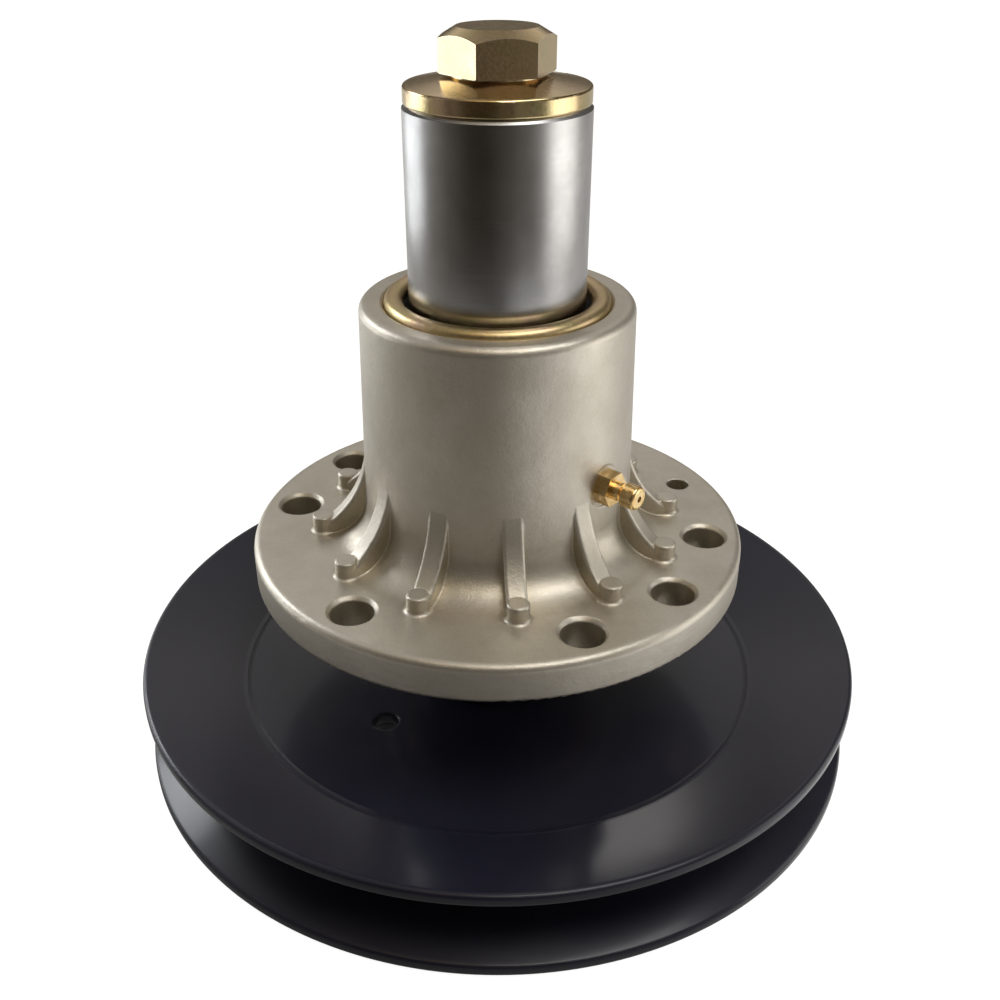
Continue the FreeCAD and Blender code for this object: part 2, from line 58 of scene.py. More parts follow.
# Camera, from the outlines in the photograph
camera_distance = 0.2722
camera_height = 0.2219
camera_pitch = math.radians(29.5)
camera_sensor = 36.0
camera_lens = 40.8
camera_shift_x = 0.0025
camera_shift_y = 0.0008
camera_clip_start = 0.01

# Colours, linear
aluminium_dark = (0.520, 0.480, 0.400, 1)
aluminium_light = (0.630, 0.590, 0.510, 1)
aluminium_edge = (0.740, 0.710, 0.650, 1)
# Painted shade, darker and warmer, for the casting's corners and hollows
aluminium_painted_shade = (0.430, 0.365, 0.235, 1)
zinc_gold = (0.600, 0.450, 0.235, 1)
zinc_green = (0.470, 0.415, 0.200, 1)
zinc_rose = (0.630, 0.450, 0.300, 1)
zinc_pale = (0.780, 0.710, 0.540, 1)
steel_dark = (0.330, 0.325, 0.320, 1)
steel_light = (0.460, 0.455, 0.450, 1)
brass_dark = (0.680, 0.430, 0.160, 1)
brass_light = (0.960, 0.750, 0.400, 1)
paint_black = (0.0125, 0.0125, 0.0250, 1)
paint_cloud = (0.0150, 0.0150, 0.0280, 1)
paint_worn = (0.0200, 0.0200, 0.0320, 1)
rubber_black = (0.0060, 0.0060, 0.0060, 1)
rubber_dusty = (0.0200, 0.0190, 0.0180, 1)
floor_white = (0.260, 0.252, 0.238, 1)
card_dark = (0.060, 0.043, 0.029, 1)
card_grey = (0.700, 0.670, 0.620, 1)
card_pale = (0.800, 0.765, 0.715, 1)
studio_front = (0.060, 0.050, 0.042, 1)
studio_back = (0.120, 0.105, 0.085, 1)
studio_side = (0.070, 0.065, 0.058, 1)
studio_top = (0.820, 0.785, 0.740, 1)
studio_zenith = (0.250, 0.240, 0.230, 1)
studio_warm = (0.740, 0.560, 0.310, 1)
backdrop_white = (1.0, 1.0, 1.0, 1)
warm_light = (1.0, 0.97, 0.93)
cool_light = (0.94, 0.97, 1.0)
white_light = (1.0, 1.0, 1.0)

# Studio floor: how much it glows to the camera and in reflections, and where that changes along X and Y
floor_radius = 5.0
floor_steps = 96
floor_camera_glow = 0.94
floor_near_glow = 0.03
floor_far_glow = 0.45
floor_right_glow = 0.60
floor_left_glow = 0.12
floor_back_lean = 0.8
floor_back_start = -0.16
floor_back_end = 0.08
floor_front_start = 0.04
floor_front_end = -0.02
floor_side_start = 0.05
floor_side_end = 0.12

# Card in front: degrees about the spindle from +X, and its tones from left to right as shares of its width
matt_roughness = 0.9
card_distance = 0.40
card_start = 180.0
card_end = 330.0
card_height = 0.55
card_segments = 36
card_dark_start = 0.22
card_dark_end = 0.45
card_pale_start = 0.90
# Dark vertical stripes painted into the card's colour, which streak its reflections in the steel
card_stripe_scale = 14
card_stripe_edges = (0.40, 0.60)
card_stripe_share = 0.8

# Studio walls, as the directions X, Y and Z of a unit sphere at which one tone gives way to the next
wall_depth = (-0.5, 0.6)
wall_sides = (0.35, 0.65)
wall_top = (0.22, 0.54)
slope_start = 0.50
slope_end = 0.90
warm_slope = (0.05, -0.35)

# Belt pulley: two pressed sheets, finer than the frame's
pulley_sheet = 0.0034
groove_half_angle = math.radians(20.0)
pulley_bend_radius = 0.005
pulley_rim_round = 0.0012
hub_fit = 0.00005
puller_hole_radius = 0.0035
puller_hole_circle = 0.044
puller_hole_angle = math.radians(-134.0)
puller_hole_count = 2
turn_steps = 240
arc_steps = 8
hole_steps = 48
sharp_angle = math.radians(30.0)

# Check spring of the grease fitting
check_spring_wire_radius = 0.00015
check_spring_turns = 4
spring_turn_steps = 32
wire_steps = 10

# Fine forms that the materials draw
fold_radius = 0.0732
fold_half_width = 0.0012
fold_height = 0.0005
weld_ripples = 64
weld_ripple_height = 0.0003
thread_pitch = 0.00141
thread_end = 0.0036
thread_flank = 0.5

# Edges, which the materials rub pale, and hollows, where the cast aluminium gets painted shade, darker and
# warmer
shade_samples = 6
edge_turns = (0.98, 0.80)
painted_shade_openness = (0.65, 0.30)

# Parts of a noise that a tone or a roughness runs over
noise_middle = (0.3, 0.7)
noise_most = (0.2, 0.8)
cast_speckle_part = (0.35, 0.7)
zinc_streak_part = (0.4, 0.75)
ring_tint_part = (0.4, 0.8)
paint_dust_part = (0.62, 0.8)

# Noise patterns: how many grains a metre, how many finer layers, and how strong these are
Pattern = namedtuple("Pattern", "scale detail roughness")
cast_mottle = Pattern(90, 5, 0.6)
cast_grain = Pattern(1800, 3, 0.6)
cast_lumps = Pattern(420, 3, 0.5)
zinc_film = Pattern(120, 4, 0.6)
zinc_fine = Pattern(1300, 3, 0.6)
tool_rings = Pattern(1.0, 3, 0.7)
steel_stain = Pattern(70, 4, 0.6)
brass_tarnish = Pattern(500, 4, 0.6)
brass_grain = Pattern(2500, 2, 0.5)
paint_clouds = Pattern(40, 4, 0.6)
paint_dust = Pattern(2600, 2, 0.7)
paint_peel = Pattern(700, 2, 0.5)
rubber_bloom = Pattern(300, 4, 0.6)
rubber_grain = Pattern(1500, 2, 0.5)
card_stripes = Pattern(1.0, 3, 0.6)

# Relief: strength and height of the grain that a pattern raises
Relief = namedtuple("Relief", "strength height")
cast_grain_relief = Relief(0.25, 0.0002)
cast_lump_relief = Relief(0.15, 0.0005)
zinc_relief = Relief(0.10, 0.0002)
ring_relief = Relief(0.02, 0.0002)
brass_relief = Relief(0.1, 0.0001)
peel_relief = Relief(0.05, 0.0004)
rubber_relief = Relief(0.15, 0.0002)
thread_relief = Relief(1.0, thread_pitch)
fold_relief = Relief(1.0, fold_height)
weld_relief = Relief(1.0, weld_ripple_height)

# Materials: roughness from one end of a pattern to the other, and widths of rounded and rubbed edges
cast_metallic = 0.84
cast_roughness = (0.48, 0.38)
# Reach of the painted shade in the casting's corners and hollows
cast_painted_shade_reach = 0.018
cast_rubbed_edge = 0.0006
cast_soft_edge = 0.0008
cast_speckle = 0.25
bright_zinc_roughness = (0.16, 0.26)
satin_zinc_roughness = (0.30, 0.44)
zinc_rubbed_edge = 0.0004
zinc_streak = 0.25
steel_anisotropy = 0.85
ring_spread = 8
ring_tint = 0.2
brass_roughness = (0.32, 0.20)
brass_rubbed_edge = 0.0003
paint_gloss = 0.30
paint_coat = 0.30
paint_coat_roughness = 0.14
paint_roughness = (0.26, 0.40)
paint_rubbed_edge = 0.0004
paint_soft_edge = 0.0012
paint_dusting = 0.5
rubber_roughness = (0.5, 0.75)

# Turned steel: roughness on and between the tool's rings, and rings a metre
Turning = namedtuple("Turning", "low_roughness high_roughness rings")
polished_turning = Turning(0.20, 0.27, 5000)
plain_turning = Turning(0.25, 0.38, 3000)
bearing_turning = Turning(0.12, 0.2, 9000)
cage_turning = Turning(0.35, 0.5, 2000)
spring_turning = Turning(0.30, 0.42, 2000)

# Soft lamps: angle about the spindle from +X in degrees, brightness as a mirror shows the panel
Softbox = namedtuple("Softbox", "angle distance height width length brightness colour")
level_softboxes = {
    "left_softbox": Softbox(angle=152, distance=0.50, height=0.34, width=0.20, length=0.20,
                            brightness=9.0, colour=cool_light),
    "left_middle_softbox": Softbox(angle=162, distance=0.50, height=0.13, width=0.28, length=0.08,
                                   brightness=3.5, colour=cool_light),
    "left_low_softbox": Softbox(angle=150, distance=0.50, height=0.045, width=0.34, length=0.09,
                                brightness=2.3, colour=cool_light),
    "right_softbox": Softbox(angle=-4, distance=0.50, height=0.17, width=0.36, length=0.34,
                             brightness=1.6, colour=warm_light),
    "back_low_softbox": Softbox(angle=87, distance=0.50, height=0.115, width=0.045, length=0.06,
                                brightness=3.0, colour=warm_light),
}
top_softbox = Softbox(angle=-42, distance=0.36, height=0.85, width=0.60, length=0.36, brightness=4.0,
                      colour=white_light)
top_softbox_aim = 0.0


def colour_input(mix, name):
    """Input of a mix node that is in use: the number for its factor, the colour for its ends."""
    kind = "VALUE" if name == "Factor" else "RGBA"
    return next(socket for socket in mix.inputs if socket.name == name and socket.type == kind)


def colour_output(mix):
    """Output of a mix node that gives the colour."""
    return next(socket for socket in mix.outputs if socket.type == "RGBA")


class Shader:
    """A material with its node tree and the few calls that the materials below share."""

    def __init__(self, name):
        self.material = bpy.data.materials.new(name)
        self.material.use_nodes = True
        self.tree = self.material.node_tree
        self.surface = self.tree.nodes["Principled BSDF"]
        self.place = self.node("ShaderNodeTexCoord").outputs["Object"]

    @classmethod
    def of_tree(cls, tree):
        """The same calls on a node tree that is there already."""
        shader = cls.__new__(cls)
        shader.tree = tree
        return shader

    def node(self, kind, **inputs):
        made = self.tree.nodes.new(kind)
        for name, value in inputs.items():
            made.inputs[name].default_value = value
        return made

    def link(self, output, target):
        self.tree.links.new(output, target)

    def scaled(self, x, y, z):
        """Object coordinates stretched along the three axes."""
        mapping = self.node("ShaderNodeMapping", Scale=(x, y, z))
        self.link(self.place, mapping.inputs["Vector"])
        return mapping.outputs["Vector"]

    def noise(self, pattern, place=None):
        made = self.node("ShaderNodeTexNoise", Scale=pattern.scale, Detail=pattern.detail,
                         Roughness=pattern.roughness)
        self.link(place or self.place, made.inputs["Vector"])
        return made.outputs["Fac"]

    def ramp(self, value, *stops):
        """Colour that runs through (position, colour) stops."""
        made = self.node("ShaderNodeValToRGB")
        elements = made.color_ramp.elements
        while len(elements) < len(stops):
            elements.new(1.0)
        for element, (position, colour) in zip(elements, stops):
            element.position = position
            element.color = colour
        self.link(value, made.inputs["Fac"])
        return made.outputs["Color"]

    def span(self, value, low, high, to_low, to_high):
        """Value that runs between two ends as another runs from low to high."""
        made = self.node("ShaderNodeMapRange")
        made.inputs["From Min"].default_value = low
        made.inputs["From Max"].default_value = high
        made.inputs["To Min"].default_value = to_low
        made.inputs["To Max"].default_value = to_high
        self.link(value, made.inputs["Value"])
        return made.outputs["Result"]

    def mixed(self, factor, first, second):
        """Colour between two, the second where the factor is one."""
        made = self.node("ShaderNodeMix")
        made.data_type = "RGBA"
        self.link(factor, colour_input(made, "Factor"))
        self.feed(colour_input(made, "A"), first)
        self.feed(colour_input(made, "B"), second)
        return colour_output(made)

    def feed(self, target, value):
        """Link an output to an input, or set the input to a plain value."""
        if hasattr(value, "node"):
            self.link(value, target)
        else:
            target.default_value = value

    def math(self, operation, first, second):
        made = self.node("ShaderNodeMath")
        made.operation = operation
        self.feed(made.inputs[0], first)
        self.feed(made.inputs[1], second)
        return made.outputs["Value"]

    def axis(self, name):
        """One of the object coordinates X, Y and Z."""
        made = self.node("ShaderNodeSeparateXYZ")
        self.link(self.place, made.inputs["Vector"])
        return made.outputs[name]

    def softened(self, radius):
        """Normal of the surface with its edges rounded off."""
        bevel = self.node("ShaderNodeBevel", Radius=radius)
        bevel.samples = shade_samples
        return bevel.outputs["Normal"]

    def edges(self, radius):
        """High along edges: how far a rounded normal turns from the true one."""
        true_normal = self.node("ShaderNodeNewGeometry").outputs["Normal"]
        turn = self.node("ShaderNodeVectorMath")
        turn.operation = "DOT_PRODUCT"
        self.link(self.softened(radius), turn.inputs[0])
        self.link(true_normal, turn.inputs[1])
        return self.span(turn.outputs["Value"], *edge_turns, 0.0, 1.0)

    def hollows(self, distance):
        """Mask for painted shade: high in corners and hollows, where other surfaces lie close."""
        shade = self.node("ShaderNodeAmbientOcclusion", Distance=distance)
        shade.samples = shade_samples
        return self.span(shade.outputs["AO"], *painted_shade_openness, 0.0, 1.0)

    def radius(self):
        """Distance from the Z axis."""
        x = self.axis("X")
        y = self.axis("Y")
        square = self.math("ADD", self.math("MULTIPLY", x, x), self.math("MULTIPLY", y, y))
        return self.math("POWER", square, 0.5)

    def turn(self):
        """Angle about Z, one for each whole turn."""
        return self.math("DIVIDE", self.math("ARCTAN2", self.axis("Y"), self.axis("X")), 2 * math.pi)

    def colour(self, output):
        self.link(output, self.surface.inputs["Base Color"])

    def roughness(self, output):
        self.link(output, self.surface.inputs["Roughness"])

    def bump(self, height, relief, below=None):
        """Relief on the surface, over another one if that is given."""
        made = self.node("ShaderNodeBump", Strength=relief.strength, Distance=relief.height)
        self.link(height, made.inputs["Height"])
        if below is not None:
            self.link(below, made.inputs["Normal"])
        self.link(made.outputs["Normal"], self.surface.inputs["Normal"])
        return made.outputs["Normal"]


def cast_aluminium():
    """Blasted die casting: satin skin with a fine grain, pale rubbed edges and painted shade, darker and
    warmer, in its corners and hollows.
    """
    shader = Shader("cast_aluminium")
    shader.surface.inputs["Metallic"].default_value = cast_metallic
    mottle = shader.noise(cast_mottle)
    grain = shader.noise(cast_grain)
    base = shader.ramp(mottle, (0.25, aluminium_dark), (0.75, aluminium_light))
    # Painted shade: the colour turns darker and warmer where other surfaces lie close
    shaded = shader.mixed(shader.hollows(cast_painted_shade_reach), base, aluminium_painted_shade)
    speckled = shader.mixed(shader.span(grain, *cast_speckle_part, 0.0, cast_speckle), shaded, aluminium_edge)
    shader.colour(shader.mixed(shader.edges(cast_rubbed_edge), speckled, aluminium_edge))
    shader.roughness(shader.span(mottle, *noise_most, *cast_roughness))
    skin = shader.bump(grain, cast_grain_relief, shader.softened(cast_soft_edge))
    shader.bump(shader.noise(cast_lumps), cast_lump_relief, skin)
    return shader.material


def yellow_zinc(name, roughness):
    """Plating with a yellow film that drifts between green, gold and rose."""
    shader = Shader(name)
    shader.surface.inputs["Metallic"].default_value = 1.0
    film = shader.noise(zinc_film)
    fine = shader.noise(zinc_fine)
    base = shader.ramp(film, (0.30, zinc_green), (0.52, zinc_gold), (0.72, zinc_rose))
    streaked = shader.mixed(shader.span(fine, *zinc_streak_part, 0.0, zinc_streak), base, zinc_pale)
    shader.colour(shader.mixed(shader.edges(zinc_rubbed_edge), streaked, zinc_pale))
    shader.roughness(shader.span(fine, *noise_middle, *roughness))
    shader.bump(fine, zinc_relief)
    return shader.material


def steel(name, turning):
    """Bare steel with fine rings left by the tool, which draw its reflections out along the axis."""
    shader = Shader(name)
    shader.surface.inputs["Metallic"].default_value = 1.0
    shader.surface.inputs["Anisotropic"].default_value = steel_anisotropy
    grooves = shader.node("ShaderNodeTangent")
    grooves.direction_type = "RADIAL"
    grooves.axis = "Z"
    shader.link(grooves.outputs["Tangent"], shader.surface.inputs["Tangent"])
    rings = shader.noise(tool_rings, shader.scaled(ring_spread, ring_spread, turning.rings))
    stain = shader.noise(steel_stain)
    base = shader.ramp(stain, (0.3, steel_dark), (0.75, steel_light))
    shader.colour(shader.mixed(shader.span(rings, *ring_tint_part, 0.0, ring_tint), base, steel_light))
    shader.roughness(shader.span(rings, *noise_middle, turning.low_roughness, turning.high_roughness))
    skin = shader.bump(rings, ring_relief)
    return shader, skin


def turned_steel(name, turning):
    """Steel with nothing more on it."""
    return steel(name, turning)[0].material


def threaded_steel(name, turning):
    """Turned steel with a screw thread on its lower end."""
    shader, skin = steel(name, turning)
    height = shader.axis("Z")
    advance = shader.math("ADD", shader.math("DIVIDE", height, thread_pitch), shader.turn())
    flanks = shader.math("PINGPONG", advance, thread_flank)
    on_thread = shader.math("LESS_THAN", height, thread_end)
    shader.bump(shader.math("MULTIPLY", flanks, on_thread), thread_relief, skin)
    return shader.material


def fitting_brass():
    """Brass with a thin brown tarnish and bright edges."""
    shader = Shader("fitting_brass")
    shader.surface.inputs["Metallic"].default_value = 1.0
    tarnish = shader.noise(brass_tarnish)
    base = shader.ramp(tarnish, (0.3, brass_dark), (0.7, brass_light))
    shader.colour(shader.mixed(shader.edges(brass_rubbed_edge), base, brass_light))
    shader.roughness(shader.span(tarnish, *noise_middle, *brass_roughness))
    shader.bump(shader.noise(brass_grain), brass_relief)
    return shader.material


def paint(name):
    """Blue-black gloss paint with a faint orange peel, dust and rubbed edges."""
    shader = Shader(name)
    shader.surface.inputs["Specular IOR Level"].default_value = paint_gloss
    shader.surface.inputs["Coat Weight"].default_value = paint_coat
    shader.surface.inputs["Coat Roughness"].default_value = paint_coat_roughness
    cloud = shader.noise(paint_clouds)
    dust = shader.noise(paint_dust)
    base = shader.ramp(cloud, (0.3, paint_black), (0.75, paint_cloud))
    dusted = shader.mixed(shader.span(dust, *paint_dust_part, 0.0, paint_dusting), base, paint_worn)
    shader.colour(shader.mixed(shader.edges(paint_rubbed_edge), dusted, paint_worn))
    shader.roughness(shader.span(cloud, *noise_most, *paint_roughness))
    skin = shader.bump(shader.noise(paint_peel), peel_relief, shader.softened(paint_soft_edge))
    return shader, skin


def black_paint():
    """Paint with nothing more on it."""
    return paint("black_paint")[0].material


def painted_sheet():
    """Painted pressing with a low ridge along the fold between web and rim."""
    shader, skin = paint("painted_sheet")
    off_fold = shader.math("ABSOLUTE", shader.math("SUBTRACT", shader.radius(), fold_radius), 0.0)
    ridge = shader.span(off_fold, 0.0, fold_half_width, 1.0, 0.0)
    shader.bump(ridge, fold_relief, skin)
    return shader.material


def painted_weld():
    """Painted weld bead with the ripples that the arc leaves."""
    shader, skin = paint("painted_weld")
    ripple = shader.math("SINE", shader.math("MULTIPLY", shader.turn(), 2 * math.pi * weld_ripples), 0.0)
    shader.bump(ripple, weld_relief, skin)
    return shader.material


def seal_rubber():
    """Dull black rubber with a dusty bloom."""
    shader = Shader("seal_rubber")
    bloom = shader.noise(rubber_bloom)
    shader.colour(shader.ramp(bloom, (0.35, rubber_black), (0.75, rubber_dusty)))
    shader.roughness(shader.span(bloom, *noise_middle, *rubber_roughness))
    shader.bump(shader.noise(rubber_grain), rubber_relief)
    return shader.material


def dress(material, *names):
    """Give nodes a material in place of the frame's."""
    for name in names:
        piece = nodes[name]
        for index in range(len(piece.material_slots)):
            piece.material_slots[index].material = material


def dress_all():
    """Materials for the nodes that keep their own mesh or lie inside."""
    dress(cast_aluminium(), "spindle_housing")
    bright_zinc = yellow_zinc("bright_zinc", bright_zinc_roughness)
    dress(bright_zinc, "blade_bolt", "blade_washer", "pulley_nut", "pulley_nut_washer")
    satin_zinc = yellow_zinc("satin_zinc", satin_zinc_roughness)
    dress(satin_zinc, "blade_side_seal_case", "pulley_side_seal_case")
    dress(turned_steel("polished_steel", polished_turning), "blade_spacer", "pulley_side_spacer")
    dress(turned_steel("turned_steel", plain_turning), "inner_spacer_tube", "pulley_key")
    dress(threaded_steel("threaded_steel", plain_turning), "spindle_shaft")
    bearing_steel = turned_steel("bearing_steel", bearing_turning)
    cage_steel = turned_steel("cage_steel", cage_turning)
    for side in ("blade_side", "pulley_side"):
        dress(bearing_steel, side + "_bearing_cup", side + "_bearing_cone", side + "_rollers")
        dress(cage_steel, side + "_roller_cage")
    dress(bearing_steel, "grease_fitting_ball")
    dress(fitting_brass(), "grease_fitting")
    dress(black_paint(), "pulley_hub")
    dress(painted_weld(), "hub_weld_bead")
    dress(seal_rubber(), "blade_side_seal_lip", "pulley_side_seal_lip")


def rounded_outline(corners):
    """Points along (radius, height, rounding) corners, with an arc at each rounded one."""
    points = []
    for index, (radius, height, rounding) in enumerate(corners):
        here = Vector((radius, height))
        before = (Vector(corners[index - 1][:2]) - here).normalized()
        after = (Vector(corners[(index + 1) % len(corners)][:2]) - here).normalized()
        if rounding == 0:
            points.append(here)
            continue
        half = before.angle(after) / 2
        centre = here + (before + after).normalized() * rounding / math.sin(half)
        first = here + before * rounding / math.tan(half) - centre
        last = here + after * rounding / math.tan(half) - centre
        for step in range(arc_steps + 1):
            spoke = first.slerp(last, step / arc_steps)
            points.append(centre + spoke.normalized() * rounding)
    return points


def closed_mesh(name, corners, faces):
    """Object with a mesh whose faces look outward."""
    mesh = bpy.data.meshes.new(name)
    mesh.from_pydata(corners, [], faces)
    shape = bmesh.new()
    shape.from_mesh(mesh)
    bmesh.ops.recalc_face_normals(shape, faces=shape.faces)
    shape.to_mesh(mesh)
    shape.free()
    made = bpy.data.objects.new(name, mesh)
    bpy.context.collection.objects.link(made)
    return made


def turned(name, outline):
    """Closed outline turned about the Z axis."""
    count = len(outline)
    corners = []
    for step in range(turn_steps):
        angle = 2 * math.pi * step / turn_steps
        corners.extend((point.x * math.cos(angle), point.x * math.sin(angle), point.y) for point in outline)
    faces = []
    for step in range(turn_steps):
        here = step * count
        beside = (step + 1) % turn_steps * count
        for index in range(count):
            ahead = (index + 1) % count
            faces.append((here + index, beside + index, beside + ahead, here + ahead))
    return closed_mesh(name, corners, faces)


def puller_hole_cutter(bottom, top):
    """Rods through the web where the puller's screws go."""
    corners = []
    faces = []
    for hole in range(puller_hole_count):
        angle = puller_hole_angle + 2 * math.pi * hole / puller_hole_count
        centre = Vector((math.cos(angle), math.sin(angle), 0)) * puller_hole_circle
        start = len(corners)
        for step in range(hole_steps):
            turn = 2 * math.pi * step / hole_steps
            spoke = centre + Vector((math.cos(turn), math.sin(turn), 0)) * puller_hole_radius
            corners.append((spoke.x, spoke.y, bottom))
            corners.append((spoke.x, spoke.y, top))
        for step in range(hole_steps):
            here = start + 2 * step
            beside = start + 2 * ((step + 1) % hole_steps)
            faces.append((here, beside, beside + 1, here + 1))
        faces.append([start + 2 * step for step in range(hole_steps)])
        faces.append([start + 2 * step + 1 for step in range(hole_steps)])
    return closed_mesh("puller_hole_cutter", corners, faces)


def cut(piece, cutter):
    """Take the cutter out of a piece for good."""
    holes = piece.modifiers.new("holes", "BOOLEAN")
    holes.operation = "DIFFERENCE"
    holes.solver = "EXACT"
    holes.object = cutter
    bpy.context.view_layer.update()
    evaluated = piece.evaluated_get(bpy.context.evaluated_depsgraph_get())
    mesh = bpy.data.meshes.new_from_object(evaluated)
    piece.modifiers.remove(holes)
    piece.data = mesh
    bpy.data.objects.remove(cutter)


def sheet_corners(radius, half_width, bore):
    """Section of a sheet, heights counted from the middle of the pulley."""
    slope = math.tan(groove_half_angle)
    edge_height = pulley_sheet / math.cos(groove_half_angle)
    rim_corner = half_width + pulley_rim_round * (slope + 1 / math.cos(groove_half_angle) - 1)
    top_corner = radius - (rim_corner - pulley_sheet) / slope
    bottom_corner = radius - (rim_corner - edge_height) / slope
    return [
        (bore, 0.0, 0.0),
        (bottom_corner, 0.0, pulley_bend_radius + pulley_sheet),
        (radius, rim_corner - edge_height, pulley_rim_round),
        (radius, rim_corner, pulley_rim_round),
        (top_corner, pulley_sheet, pulley_bend_radius),
        (bore, pulley_sheet, 0.0),
    ]


def add_pulley_sheet(name, node, material):
    """Pressed sheet with finely rounded edges in place of its node."""
    low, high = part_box(node)
    upper_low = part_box("pulley_upper_half")[0]
    middle = upper_low[2]
    side = 1 if low[2] >= middle else -1
    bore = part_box("pulley_hub")[1][0] + hub_fit
    outline = rounded_outline(sheet_corners(high[0], high[2] - low[2], bore))
    piece = turned(name, [Vector((point.x, middle + side * point.y)) for point in outline])
    cut(piece, puller_hole_cutter(low[2], high[2]))
    piece.data.shade_smooth()
    piece.data.set_sharp_from_angle(angle=sharp_angle)
    piece.modifiers.new("even_shading", "WEIGHTED_NORMAL").keep_sharp = True
    piece.data.materials.append(material)
    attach(piece, "rotor")
    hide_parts(node)


def add_pulley():
    """Both sheets of the pulley in one paint."""
    material = painted_sheet()
    add_pulley_sheet("pulley_upper_sheet", "pulley_upper_half", material)
    add_pulley_sheet("pulley_lower_sheet", "pulley_lower_half", material)


def coil_mesh(name, start, along, length, radius):
    """Round wire wound about an axis from a start point, closed at both ends."""
    upward = Vector((0, 0, 1))
    across = along.cross(upward)
    total = check_spring_turns * spring_turn_steps
    corners = []
    for step in range(total + 1):
        turn = 2 * math.pi * step / spring_turn_steps
        spoke = across * math.cos(turn) + upward * math.sin(turn)
        middle = start + along * (length * step / total) + spoke * radius
        for side in range(wire_steps):
            angle = 2 * math.pi * side / wire_steps
            offset = spoke * math.cos(angle) + along * math.sin(angle)
            corners.append(middle + offset * check_spring_wire_radius)
    faces = []
    for step in range(total):
        here = step * wire_steps
        for side in range(wire_steps):
            ahead = (side + 1) % wire_steps
            faces.append((here + side, here + ahead, here + wire_steps + ahead, here + wire_steps + side))
    faces.append(list(range(wire_steps)))
    faces.append(list(range(total * wire_steps, (total + 1) * wire_steps)))
    return closed_mesh(name, corners, faces)


def add_check_spring():
    """Coil of wire from the ball along the axis that the ball lifts on, in place of its node."""
    joint = next(joint for joint in frame["joints"] if joint["name"] == "check_ball_lift")
    inward = Vector(joint["axis"]).normalized()
    ball_low, ball_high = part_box("grease_fitting_ball")
    coil_low, coil_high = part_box("grease_fitting_spring")
    ball_middle = (ball_low + ball_high) / 2
    ball_radius = (ball_high.z - ball_low.z) / 2
    room = 2 * ((coil_low + coil_high - 2 * ball_middle).dot(inward) / 2 - ball_radius)
    radius = (coil_high.z - coil_low.z) / 2 - check_spring_wire_radius
    start = ball_middle + inward * (ball_radius + check_spring_wire_radius)
    piece = coil_mesh("check_spring_coil", start, inward, room - 2 * check_spring_wire_radius, radius)
    piece.data.shade_smooth()
    piece.data.materials.append(turned_steel("spring_steel", spring_turning))
    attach(piece, "housing")
    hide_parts("grease_fitting_spring")
    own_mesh(piece)


def add_floor():
    """Pale floor that shows white to the camera and keeps the shadow."""
    bpy.ops.mesh.primitive_circle_add(vertices=floor_steps, radius=floor_radius, fill_type="NGON")
    floor = bpy.context.object
    floor.name = "floor"
    shader = Shader("floor_white")
    shader.surface.inputs["Base Color"].default_value = floor_white
    shader.surface.inputs["Roughness"].default_value = matt_roughness
    shader.surface.inputs["Emission Color"].default_value = backdrop_white
    seen = shader.node("ShaderNodeLightPath")
    away = shader.math("ADD", shader.axis("X"), shader.math("MULTIPLY", shader.axis("Y"), floor_back_lean))
    back = shader.span(away, floor_back_start, floor_back_end, floor_near_glow, floor_far_glow)
    in_front = shader.span(shader.axis("Y"), floor_front_start, floor_front_end, 0.0, floor_right_glow)
    at_right = shader.span(shader.axis("X"), floor_side_start, floor_side_end, 0.0, 1.0)
    right = shader.math("MULTIPLY", at_right, in_front)
    left = shader.span(shader.axis("X"), -floor_side_start, -floor_side_end, 0.0, floor_left_glow)
    beside = shader.math("ADD", left, right)
    camera_glow = shader.math("MULTIPLY", seen.outputs["Is Camera Ray"], floor_camera_glow)
    glossy_glow = shader.math("MULTIPLY", seen.outputs["Is Glossy Ray"], shader.math("ADD", back, beside))
    shader.link(shader.math("ADD", camera_glow, glossy_glow), shader.surface.inputs["Emission Strength"])
    floor.data.materials.append(shader.material)


def around(distance, angle, height):
    """Point at a distance from the spindle axis, the angle counted from +X."""
    turn = math.radians(angle)
    return Vector((distance * math.cos(turn), distance * math.sin(turn), height))


def add_softbox(name, softbox, target_height):
    """Soft lamp that faces a point on the axis of the spindle."""
    light = bpy.data.lights.new(name, "AREA")
    light.shape = "RECTANGLE"
    light.size = softbox.width
    light.size_y = softbox.length
    light.energy = softbox.brightness * math.pi * softbox.width * softbox.length
    light.color = softbox.colour
    lamp = bpy.data.objects.new(name, light)
    lamp.location = around(softbox.distance, softbox.angle, softbox.height)
    beam = Vector((0, 0, target_height)) - lamp.location
    lamp.rotation_euler = beam.to_track_quat("-Z", "Y").to_euler()
    lamp.visible_camera = False
    bpy.context.collection.objects.link(lamp)


def add_lights():
    """Level lamps all round and one overhead that looks down at the pulley."""
    for name, softbox in level_softboxes.items():
        add_softbox(name, softbox, softbox.height)
    add_softbox("top_softbox", top_softbox, top_softbox_aim)


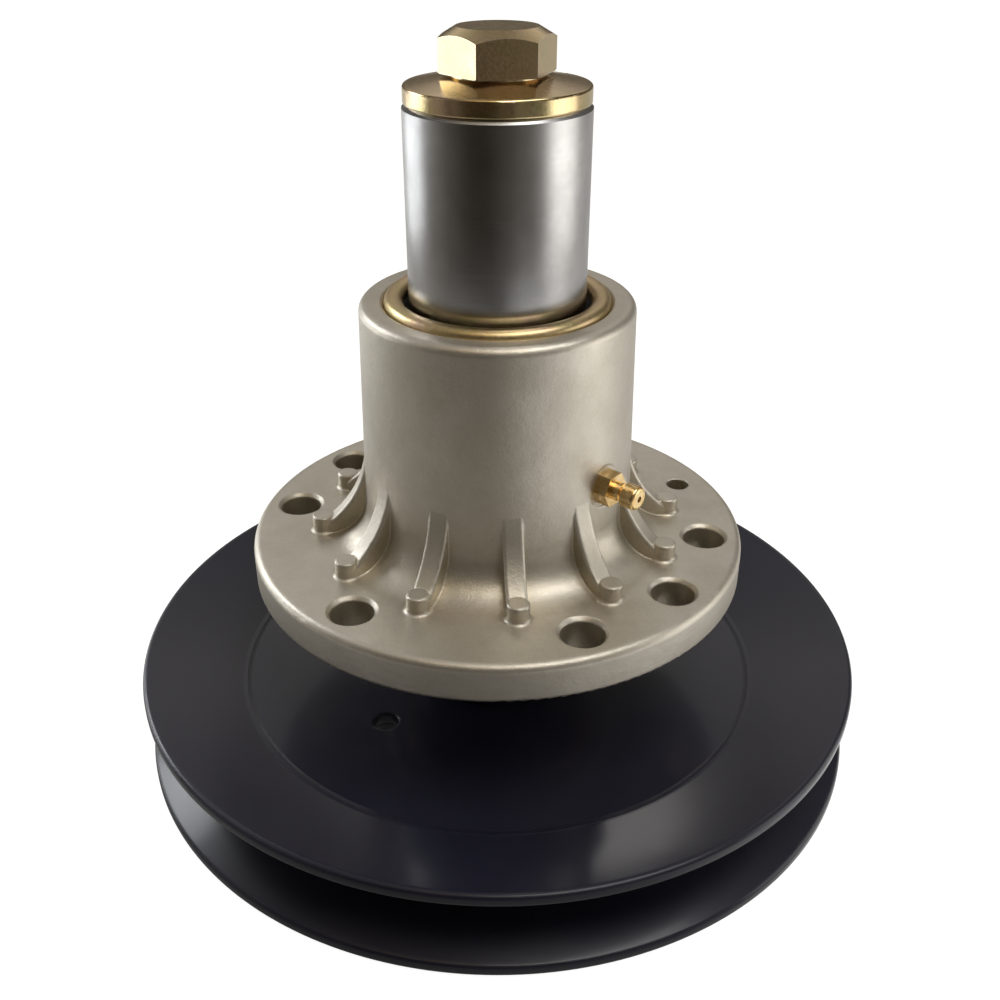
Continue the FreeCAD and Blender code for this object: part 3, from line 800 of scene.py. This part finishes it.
def add_card():
    """Curved card in front of the spindle, dark in the middle and with dark vertical stripes painted into its
    colour, which keeps light off the camera's side.
    """
    mesh = bpy.data.meshes.new("front_card")
    corners = []
    for index in range(card_segments + 1):
        angle = card_start + (card_end - card_start) * index / card_segments
        corners.append(around(card_distance, angle, 0.0))
        corners.append(around(card_distance, angle, card_height))
    faces = [(2 * index, 2 * index + 2, 2 * index + 3, 2 * index + 1) for index in range(card_segments)]
    mesh.from_pydata(corners, [], faces)
    card = bpy.data.objects.new("front_card", mesh)
    bpy.context.collection.objects.link(card)
    shader = Shader("card_grey")
    across = shader.span(shader.axis("X"), -card_distance, card_distance, 0.0, 1.0)
    tone = shader.ramp(across, (0.0, card_grey), (card_dark_start, card_dark), (card_dark_end, card_dark),
                       (card_pale_start, card_pale))
    # Dark vertical stripes painted into the card's colour
    stripes = shader.noise(card_stripes, shader.scaled(card_stripe_scale, 0, 0))
    shader.colour(shader.mixed(shader.span(stripes, *card_stripe_edges, 0.0, card_stripe_share), tone, card_dark))
    shader.surface.inputs["Roughness"].default_value = matt_roughness
    mesh.materials.append(shader.material)
    card.visible_camera = False


def set_world():
    """Studio walls: dark low down and at the sides, a pale slope behind and a warm one above the camera."""
    world = bpy.data.worlds.new("studio")
    bpy.context.scene.world = world
    world.use_nodes = True
    shader = Shader.of_tree(world.node_tree)
    parts = shader.node("ShaderNodeSeparateXYZ")
    shader.link(shader.node("ShaderNodeTexCoord").outputs["Generated"], parts.inputs["Vector"])
    backward = shader.span(parts.outputs["Y"], *wall_depth, 0.0, 1.0)
    sideward = shader.span(shader.math("ABSOLUTE", parts.outputs["X"], 0.0), *wall_sides, 0.0, 1.0)
    walls = shader.ramp(backward, (0.0, studio_front), (1.0, studio_back))
    slope = shader.ramp(parts.outputs["Z"], (slope_start, studio_top), (slope_end, studio_zenith))
    over_camera = shader.span(parts.outputs["Y"], *warm_slope, 0.0, 1.0)
    sky = shader.mixed(sideward, shader.mixed(over_camera, slope, studio_warm), studio_side)
    upward = shader.span(parts.outputs["Z"], *wall_top, 0.0, 1.0)
    seen = shader.node("ShaderNodeLightPath").outputs["Is Camera Ray"]
    shown = shader.mixed(seen, shader.mixed(upward, walls, sky), backdrop_white)
    shader.link(shown, world.node_tree.nodes["Background"].inputs["Color"])


def add_camera():
    """Camera in front of the spindle that looks down at it."""
    data = bpy.data.cameras.new("camera")
    data.sensor_width = camera_sensor
    data.lens = camera_lens
    data.shift_x = camera_shift_x
    data.shift_y = camera_shift_y
    data.clip_start = camera_clip_start
    camera = bpy.data.objects.new("camera", data)
    camera.location = (0, -camera_distance, camera_height)
    camera.rotation_euler = (math.pi / 2 - camera_pitch, 0, 0)
    bpy.context.collection.objects.link(camera)
    bpy.context.scene.camera = camera


bpy.context.scene.view_settings.view_transform = "Standard"
dress_all()
add_pulley()
add_check_spring()
add_floor()
add_card()
add_lights()
set_world()
add_camera()
